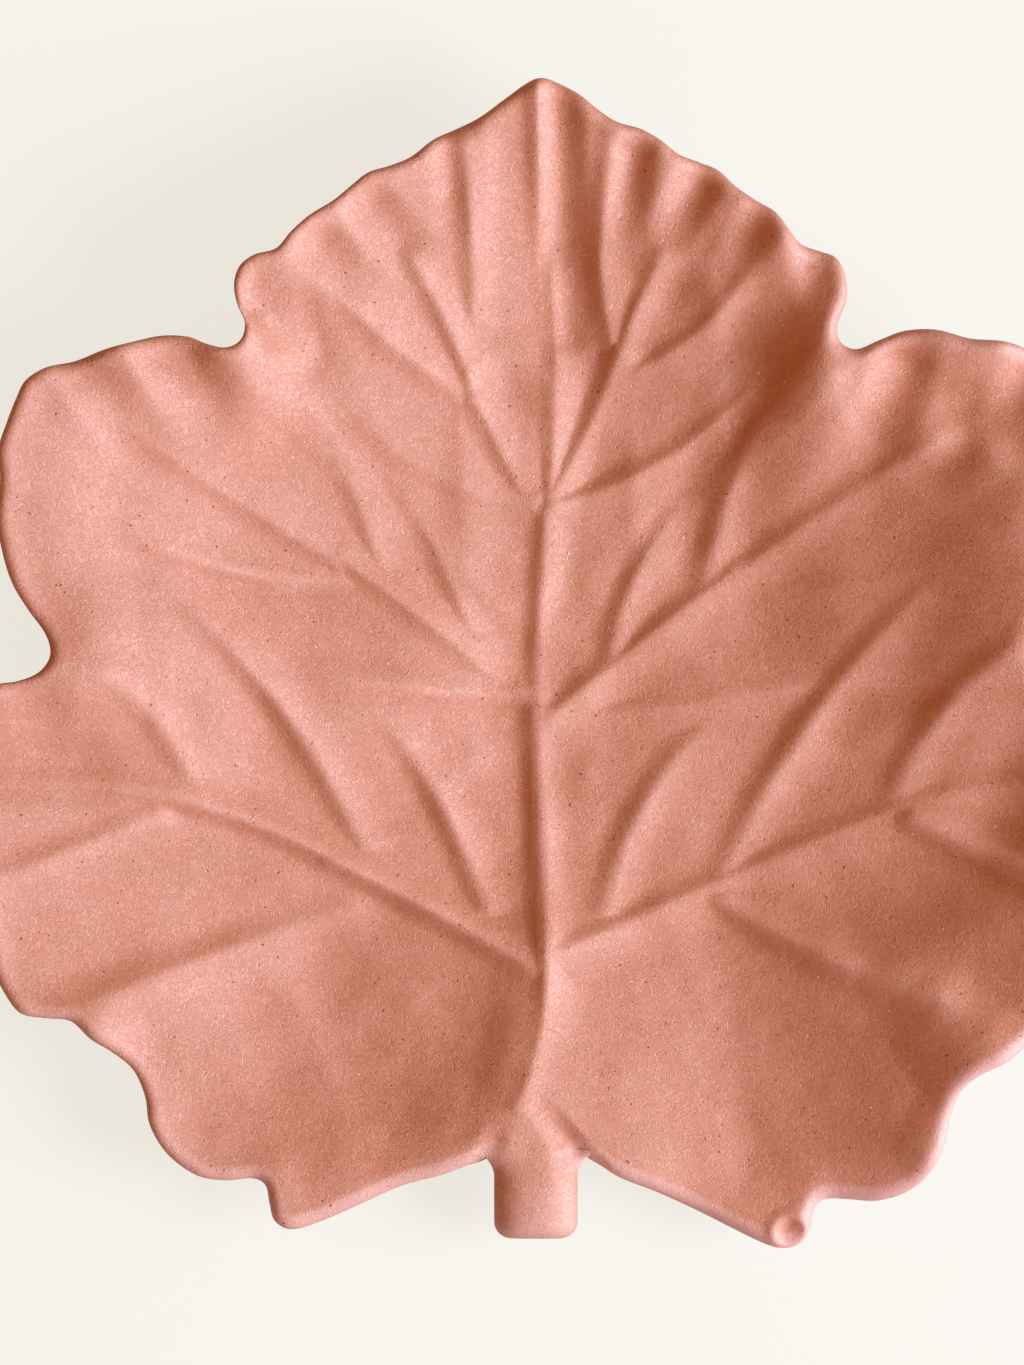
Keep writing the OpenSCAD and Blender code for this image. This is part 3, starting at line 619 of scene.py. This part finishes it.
def fired_clay(name, pale, deep, rough):
    """Bare fired clay, with painted light: darker orange in the hollows as painted shade, pinker where
    worn by rubbing and, as a painted highlight, on the veins and the near right rim, with grit and
    crazing."""
    finish, tree = emptied(bpy.data.materials.new(name))
    places = tree.add("ShaderNodeTexCoord", out="Object")
    hollow, vein, rim = (tree.add("ShaderNodeAttribute", {"attribute_name": marked}, out="Fac")
                         for marked in ("hollow", "vein", "rim"))
    broad = places.cloud(broad_l, cloud_detail)
    patch = places.cloud(patch_l, cloud_detail)
    grain = places.cloud(grain_l, cloud_detail)
    curl = places.cloud(craze_l, 0.0, Distortion=craze_twist)
    pale_line = 1 - abs(curl - pale_at).between(0.0, craze_w)
    dark_line = 1 - abs(curl - dark_at).between(0.0, craze_w)
    pin = places.grit(*pinholes)
    fleck = places.grit(*flecks)
    # Random rubbing from the clouds, with painted shade in the hollows and a painted highlight on the
    # veins
    rub_shade_and_highlight = rub_all + (broad - 0.5) * rub_broad + (patch - 0.5) * rub_patch
    rub_shade_and_highlight = tree.math("ADD", rub_shade_and_highlight - hollow * hollow_painted_shade + vein * vein_rub_and_highlight, 0.0, clamp=True)
    across = tree.add("ShaderNodeSeparateXYZ", None, {"Vector": places}, "X")
    along = tree.add("ShaderNodeSeparateXYZ", None, {"Vector": places}, "Y")
    # The side of the leaf that faces the lamps, where the rim gets its painted highlight
    lamp_side = (across - along).between(*lamp_side_edge)
    colour = tree.add("ShaderNodeMix", {"data_type": "RGBA"}, {"Factor": rub_shade_and_highlight, "A": deep, "B": pale})
    colour = colour.tint(pale_line, *pale_tint).tint(dark_line, *dark_tint)
    colour = colour.tint(rim.between(*rim_edge) * lamp_side, *rim_highlight_tint)
    colour = colour.tint(pin, *pin_tint).tint(fleck, *fleck_tint)
    relief = (pale_line - dark_line) * craze_relief + grain * grain_relief
    relief = relief + patch * patch_relief - pin * pin_relief
    bump = tree.add("ShaderNodeBump", None, {
        "Strength": relief_strength, "Distance": relief_h, "Height": relief})
    surface = tree.add("ShaderNodeBsdfPrincipled", None, {
        "Base Color": colour, "Roughness": rough + (patch - 0.5) * rough_change, "Normal": bump,
        "Specular IOR Level": clay_gloss, "IOR": clay_ior})
    tree.add("ShaderNodeOutputMaterial", None, {"Surface": surface})
    return finish


leaf_clay = fired_clay("leaf_clay", (0.725, 0.316, 0.180, 1), (0.605, 0.203, 0.074, 1), 0.65)


def geometry_tree(name, sizes):
    """Starts a node tree with geometry in and out and named sizes, each read by its name."""
    group = bpy.data.node_groups.new(name, "GeometryNodeTree")
    group.interface.new_socket("Geometry", in_out="INPUT", socket_type="NodeSocketGeometry")
    for size, kind in sizes.items():
        group.interface.new_socket(size, in_out="INPUT", socket_type=kind)
    group.interface.new_socket("Geometry", in_out="OUTPUT", socket_type="NodeSocketGeometry")
    return Wire(group), lambda size: Wire(group).add("NodeGroupInput", out=size)


def work(piece, group, values):
    """Leaves the piece as the node tree makes it, as a plain mesh."""
    tool = piece.modifiers.new(group.name, "NODES")
    tool.node_group = group
    sockets = {s.name: s.identifier for s in group.interface.items_tree if s.in_out == "INPUT"}
    for name, value in values.items():
        tool[sockets[name]] = value
    made = bpy.data.meshes.new_from_object(piece.evaluated_get(bpy.context.evaluated_depsgraph_get()))
    piece.modifiers.remove(tool)
    piece.data = made


# The press of the hands: the sheet wavers a little everywhere, and each place knows how deep it lies
# below the level round it, which the clay's colour uses for painted shade in the hollows
level_steps = 14
hands, size = geometry_tree("hand_pressing", {
    "Depth": "NodeSocketFloat", "Spread": "NodeSocketFloat", "Clay": "NodeSocketMaterial"})
position = hands.add("GeometryNodeInputPosition")
height = hands.add("ShaderNodeSeparateXYZ", None, {"Vector": position}, "Z")
level = hands.add("GeometryNodeBlurAttribute", {"data_type": "FLOAT"}, {
    "Value": height, "Iterations": level_steps})
marked = hands.add("GeometryNodeStoreNamedAttribute", {"data_type": "FLOAT", "domain": "POINT"}, {
    "Geometry": size("Geometry"), "Name": "hollow", "Value": level - height})
waver = position.cloud(size("Spread"))
lift = hands.add("ShaderNodeCombineXYZ", None, {"Z": (waver - 0.5) * size("Depth")})
pressed = hands.add("GeometryNodeSetPosition", None, {"Geometry": marked, "Offset": lift})
pressed = hands.add("GeometryNodeSetMaterial", None, {"Geometry": pressed, "Material": size("Clay")})
hands.add("NodeGroupOutput", None, {"Geometry": pressed})
press = {"Depth": 0.0012, "Spread": 0.022, "Clay": leaf_clay}
work(blade, hands.tree, press)
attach(blade, "root")
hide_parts("leaf_dish")


# Grains of iron and of grog show in the clay's face: dark red-brown specks and a few pale ones. They
# are part of the body and show where its face was wiped, each less than a millimetre long.

iron_px = [
  [270, 443], [252, 620], [264, 908], [330, 1206], [831, 790], [1005, 519], [958, 597], [828, 607],
  [893, 917], [875, 695], [632, 1105], [146, 546], [125, 765], [85, 814], [376, 940],
]
grog_px = [[193, 690], [809, 1036], [287, 365], [178, 1115], [836, 828], [312, 795]]

# A grain is sunk to its middle, up to grain_long times as long as it is wide, and flat
grain_long = 1.9
grain_flat = 0.30
grain_rough = 0.7
long_seed = 3
grains, size = geometry_tree("grains_in_clay", {
    "Blade": "NodeSocketObject", "Density": "NodeSocketFloat", "Least": "NodeSocketFloat",
    "Most": "NodeSocketFloat", "Seed": "NodeSocketInt", "Grain": "NodeSocketMaterial"})
face = grains.add("GeometryNodeObjectInfo", None, {"Object": size("Blade")}, "Geometry")
strewn = grains.add("GeometryNodeDistributePointsOnFaces", None, {
    "Mesh": face, "Density": size("Density"), "Seed": size("Seed")}, "Points")
known = grains.add("GeometryNodeMeshToPoints", None, {"Mesh": size("Geometry")})
known = grains.add("GeometryNodeSetPosition", None, {
    "Geometry": known, "Position": grains.add("GeometryNodeProximity", None, {0: face}, "Position")})
both = grains.add("GeometryNodeJoinGeometry")
for part in (strewn, known):
    grains.tree.links.new(part.socket, both.socket.node.inputs[0])
upright = grains.add("GeometryNodeSampleNearestSurface", {"data_type": "FLOAT_VECTOR"}, {
    "Mesh": face, "Value": grains.add("GeometryNodeInputNormal")}, "Value")
spin = grains.add("FunctionNodeRandomValue", {"data_type": "FLOAT_VECTOR"}, {
    "Min": (0, 0, 0), "Max": (0, 0, math.tau), "Seed": size("Seed")})
lie = grains.add("FunctionNodeAlignRotationToVector", {"axis": "Z"}, {
    "Rotation": spin, "Vector": upright})
grain_r = grains.add("FunctionNodeRandomValue", {"data_type": "FLOAT"}, {
    "Min": size("Least"), "Max": size("Most"), "Seed": size("Seed")})
longer = grains.add("FunctionNodeRandomValue", {"data_type": "FLOAT"}, {
    "Min": 1.0, "Max": grain_long, "Seed": long_seed})
shape = grains.add("ShaderNodeCombineXYZ", None, {
    "X": grain_r * longer, "Y": grain_r, "Z": grain_r * grain_flat})
bead = grains.add("GeometryNodeMeshIcoSphere", None, {"Radius": 1.0, "Subdivisions": 2}, "Mesh")
laid = grains.add("GeometryNodeInstanceOnPoints", None, {
    "Points": both, "Instance": bead, "Rotation": lie, "Scale": shape})
laid = grains.add("GeometryNodeRealizeInstances", None, {"Geometry": laid})
laid = grains.add("GeometryNodeSetMaterial", None, {"Geometry": laid, "Material": size("Grain")})
grains.add("NodeGroupOutput", None, {"Geometry": laid})


def grain_finish(name, colour):
    """One dull colour, since a grain is only a few tenths of a millimetre across."""
    finish, tree = emptied(bpy.data.materials.new(name))
    surface = tree.add("ShaderNodeBsdfPrincipled", None, {"Base Color": colour, "Roughness": grain_rough})
    tree.add("ShaderNodeOutputMaterial", None, {"Surface": surface})
    return finish


# Places that are known, colour, how many more are strewn on a square metre, and least and most radius
grain_kinds = {
    "iron_grains": (iron_px, (0.40, 0.105, 0.050, 1), {
        "Density": 10000.0, "Least": 0.00008, "Most": 0.00023, "Seed": 4}),
    "grog_grains": (grog_px, (0.93, 0.66, 0.52, 1), {
        "Density": 1500.0, "Least": 0.00010, "Most": 0.00020, "Seed": 9}),
}
for name, (known_px, colour, sizes) in grain_kinds.items():
    mesh = bpy.data.meshes.new(name)
    mesh.from_pydata(upper_side(place(known_px)).tolist(), [], [])
    piece = placed(name, mesh)
    work(piece, grains.tree, {**sizes, "Blade": blade, "Grain": grain_finish(name, colour)})
    piece.data.shade_smooth()
    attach(piece, "root")
    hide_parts("leaf_dish")


# The stem is a short roll of the same clay, pressed on at the blade's root while wet and smoothed in,
# then cut off square and rounded at its end.

stem_end_r = 0.0034
stem_lean = 0.015
stem_squared = 2.4

# Where it is smoothed in: it widens by stem_flare over the stem_fade next to the blade, turns from the
# blade's section to its own over join_l, and keeps the blade's slope, found over climb_l, to level_l
stem_flare = 0.0034
stem_fade = 0.0055
join_l = 0.009
join_early = 0.001
level_l = 0.008
climb_l = 0.001

# Steps across, along and round its end, and the rows that close each end as shares of its size
stem_points = 24
stem_steps = 24
end_steps = 8
cap_shares = (0.75, 0.5, 0.25, 0)

# How much of the rim's painted highlight the stem has
stem_rim_highlight = 0.32

stem_x = np.cos(np.linspace(math.pi, 0, stem_points + 1))
roll = (1 - abs(stem_x) ** stem_squared) ** (1 / stem_squared)
middle = upper_side(root[None])[0, 2] - stem_t / 2
climb = (middle + stem_t / 2 - upper_side(root[None] + [0, climb_l])[0, 2]) / climb_l


def stem_row(along, shrink):
    """One section of the stem, that far from the root and that much smaller all round."""
    k = ease((along + join_early) / join_l)
    x = root[0] + stem_x * (stem_w / 2 + stem_flare * (1 - min(along / stem_fade, 1)) ** 2)
    seat = np.column_stack([x, np.full(len(x), root[1])])
    seat_top, seat_low = upper_side(seat)[:, 2], under_side(seat)[:, 2]
    seat_top = seat_top + climb * level_l / 2 * (1 - (1 - min(along / level_l, 1)) ** 2)
    top = seat_top + (middle + stem_t / 2 * roll - stem_lean * stem_x * stem_w / 2 - seat_top) * k
    low = seat_low + (middle - stem_t / 2 * roll - seat_low) * k
    z = np.concatenate([top, low[::-1]])
    x = np.concatenate([x, x[::-1]])
    x = root[0] + (x - root[0]) * (1 - shrink / (stem_w / 2))
    z = middle + (z - middle) * (1 - shrink / (stem_t / 2))
    return np.column_stack([x, np.full(len(x), root[1] - along), z])


stem_rows = [stem_row(along, 0) for along in np.linspace(0, stem_l - stem_end_r, stem_steps)]
for round_turn in np.linspace(0, math.pi / 2, end_steps + 1)[1:]:
    along = stem_l - stem_end_r * (1 - math.sin(round_turn))
    stem_rows.append(stem_row(along, stem_end_r * (1 - math.cos(round_turn))))
for ends in (0, -1):
    row = stem_rows[ends]
    caps = [row.mean(0) + (row - row.mean(0)) * share for share in cap_shares]
    stem_rows = caps[::-1] + stem_rows if ends == 0 else stem_rows + caps
section = len(stem_rows[0])
here = np.arange(section)
stem_faces = [band(k * section + here, (k + 1) * section + here) for k in range(len(stem_rows) - 1)]
stem = clay_piece("stem_roll", stem_rows, np.concatenate(stem_faces))
# The stem takes the rim's painted highlight, more of it away from the root
mark(stem, "rim", [max(rim_share(v.co.x, v.co.y), stem_rim_highlight * ease((root[1] - v.co.y) / stem_t))
                   for v in stem.data.vertices])
work(stem, hands.tree, press)
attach(stem, "root")
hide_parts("stem")


# The foot is a thin ring of clay, turned true and luted to the underside with slip. Its tread is
# wiped round so that it doesn't scratch the table, and is a little paler from handling.

foot_w = 0.006
foot_edge_r = 0.0012
foot_steps = 160
foot_edge_steps = 5

# How far the ring is set into the underside
slip_t = 0.001

tread_clay = fired_clay("tread_clay", (0.76, 0.42, 0.32, 1), (0.64, 0.26, 0.17, 1), 0.85)
lathe, size = geometry_tree("foot_turning", {
    "Radius": "NodeSocketFloat", "Width": "NodeSocketFloat", "Height": "NodeSocketFloat",
    "Edge": "NodeSocketFloat", "Middle": "NodeSocketVector", "Clay": "NodeSocketMaterial"})
circle = lathe.add("GeometryNodeCurvePrimitiveCircle", None, {
    "Resolution": foot_steps, "Radius": size("Radius") - size("Width") / 2})
profile = lathe.add("GeometryNodeCurvePrimitiveQuadrilateral", None, {
    "Width": size("Width"), "Height": size("Height")})
profile = lathe.add("GeometryNodeFilletCurve", {"mode": "POLY"}, {
    "Curve": profile, "Count": foot_edge_steps, "Radius": size("Edge")})
ring = lathe.add("GeometryNodeCurveToMesh", None, {"Curve": circle, "Profile Curve": profile})
ring = lathe.add("GeometryNodeTransform", None, {"Geometry": ring, "Translation": size("Middle")})
ring = lathe.add("GeometryNodeSetMaterial", None, {"Geometry": ring, "Material": size("Clay")})
lathe.add("NodeGroupOutput", None, {"Geometry": ring})
foot = placed("foot", bpy.data.meshes.new("foot"))
work(foot, lathe.tree, {
    "Radius": foot_r, "Width": foot_w, "Height": foot_h + slip_t, "Edge": foot_edge_r,
    "Middle": (hub[0], hub[1], foot_h / 2 + slip_t / 2), "Clay": tread_clay})
foot.data.shade_smooth()
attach(foot, "root")
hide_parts("foot_ring")


# The setting is a pale sheet of paper on a table. One large soft lamp stands low on the right, a
# fainter, bluer one low on the near side, and a gentle warm fill comes from all round. The camera
# looks straight down on the leaf.

paper_plain = (0.60, 0.60, 0.60, 1)
paper_lit = (0.16, 0.176, 0.165, 1)
paper_glow = (1, 0.98, 0.90, 1)
glow_strength = 0.785
paper, sheet = emptied(bpy.data.materials.new("paper"))
seen = sheet.add("ShaderNodeLightPath", None, None, "Is Camera Ray")
plain = sheet.add("ShaderNodeBsdfDiffuse", None, {"Color": paper_plain})
lit = sheet.add("ShaderNodeBsdfDiffuse", None, {"Color": paper_lit})
glow = sheet.add("ShaderNodeEmission", None, {"Color": paper_glow, "Strength": glow_strength})
lit = sheet.add("ShaderNodeAddShader", None, {0: lit, 1: glow})
mixed = sheet.add("ShaderNodeMixShader", None, {0: seen, 1: plain, 2: lit})
sheet.add("ShaderNodeOutputMaterial", None, {"Surface": mixed})

table_half = 6
corners = [(x * table_half, y * table_half, 0) for x, y in ((-1, -1), (1, -1), (1, 1), (-1, 1))]
table_mesh = bpy.data.meshes.new("table")
table_mesh.from_pydata(corners, [], [(0, 1, 2, 3)])
table_mesh.materials.append(paper)
floor = placed("table", table_mesh)

# Where each lamp stands, in degrees round the leaf from its right and up from the table
lamp_far = 1.6
lamps = {
    "window": {"turn": -11, "rise": 31, "size": 1.0, "energy": 35.0, "color": (0.90, 0.99, 1.26)},
    "skylight": {"turn": -85, "rise": 24, "size": 1.4, "energy": 3.2, "color": (0.84, 0.90, 1.42)},
}
for name, lamp in lamps.items():
    light = bpy.data.lights.new(name, "AREA")
    light.shape = "DISK"
    light.size = lamp["size"]
    light.energy = lamp["energy"]
    light.color = lamp["color"]
    turned, raised = math.radians(lamp["turn"]), math.radians(lamp["rise"])
    aside = math.cos(raised)
    toward = Vector((math.cos(turned) * aside, math.sin(turned) * aside, math.sin(raised)))
    stand = placed(name, light)
    stand.location = toward * lamp_far
    stand.rotation_euler = toward.to_track_quat("Z", "Y").to_euler()

fill_colour = (1.0, 0.40, 0.07, 1)
fill_strength = 0.34
wall_colour = (1, 0.99, 0.98, 1)
wall_strength = 0.92
room, air = emptied(bpy.data.worlds.new("room"))
seen = air.add("ShaderNodeLightPath", None, None, "Is Camera Ray")
fill = air.add("ShaderNodeBackground", None, {"Color": fill_colour, "Strength": fill_strength})
wall = air.add("ShaderNodeBackground", None, {"Color": wall_colour, "Strength": wall_strength})
mixed = air.add("ShaderNodeMixShader", None, {0: seen, 1: fill, 2: wall})
air.add("ShaderNodeOutputWorld", None, {"Surface": mixed})
bpy.context.scene.world = room

# The frame holds the same part of the drawing grid as the picture, at the height of the rim
frame_px = (1024, 1365)
rim_height = 0.028
camera_far = 2.4
sensor_h = 36
camera_data = bpy.data.cameras.new("camera")
camera_data.sensor_fit = "VERTICAL"
camera_data.sensor_height = sensor_h
camera_data.lens = sensor_h * camera_far / (frame_px[1] * step[0])
camera_data.clip_end = 20
camera = placed("camera", camera_data)
frame_x, frame_y = place((frame_px[0] / 2, frame_px[1] / 2))
camera.location = (frame_x, frame_y, rim_height + camera_far)
bpy.context.scene.camera = camera
bpy.context.scene.view_settings.view_transform = "Standard"
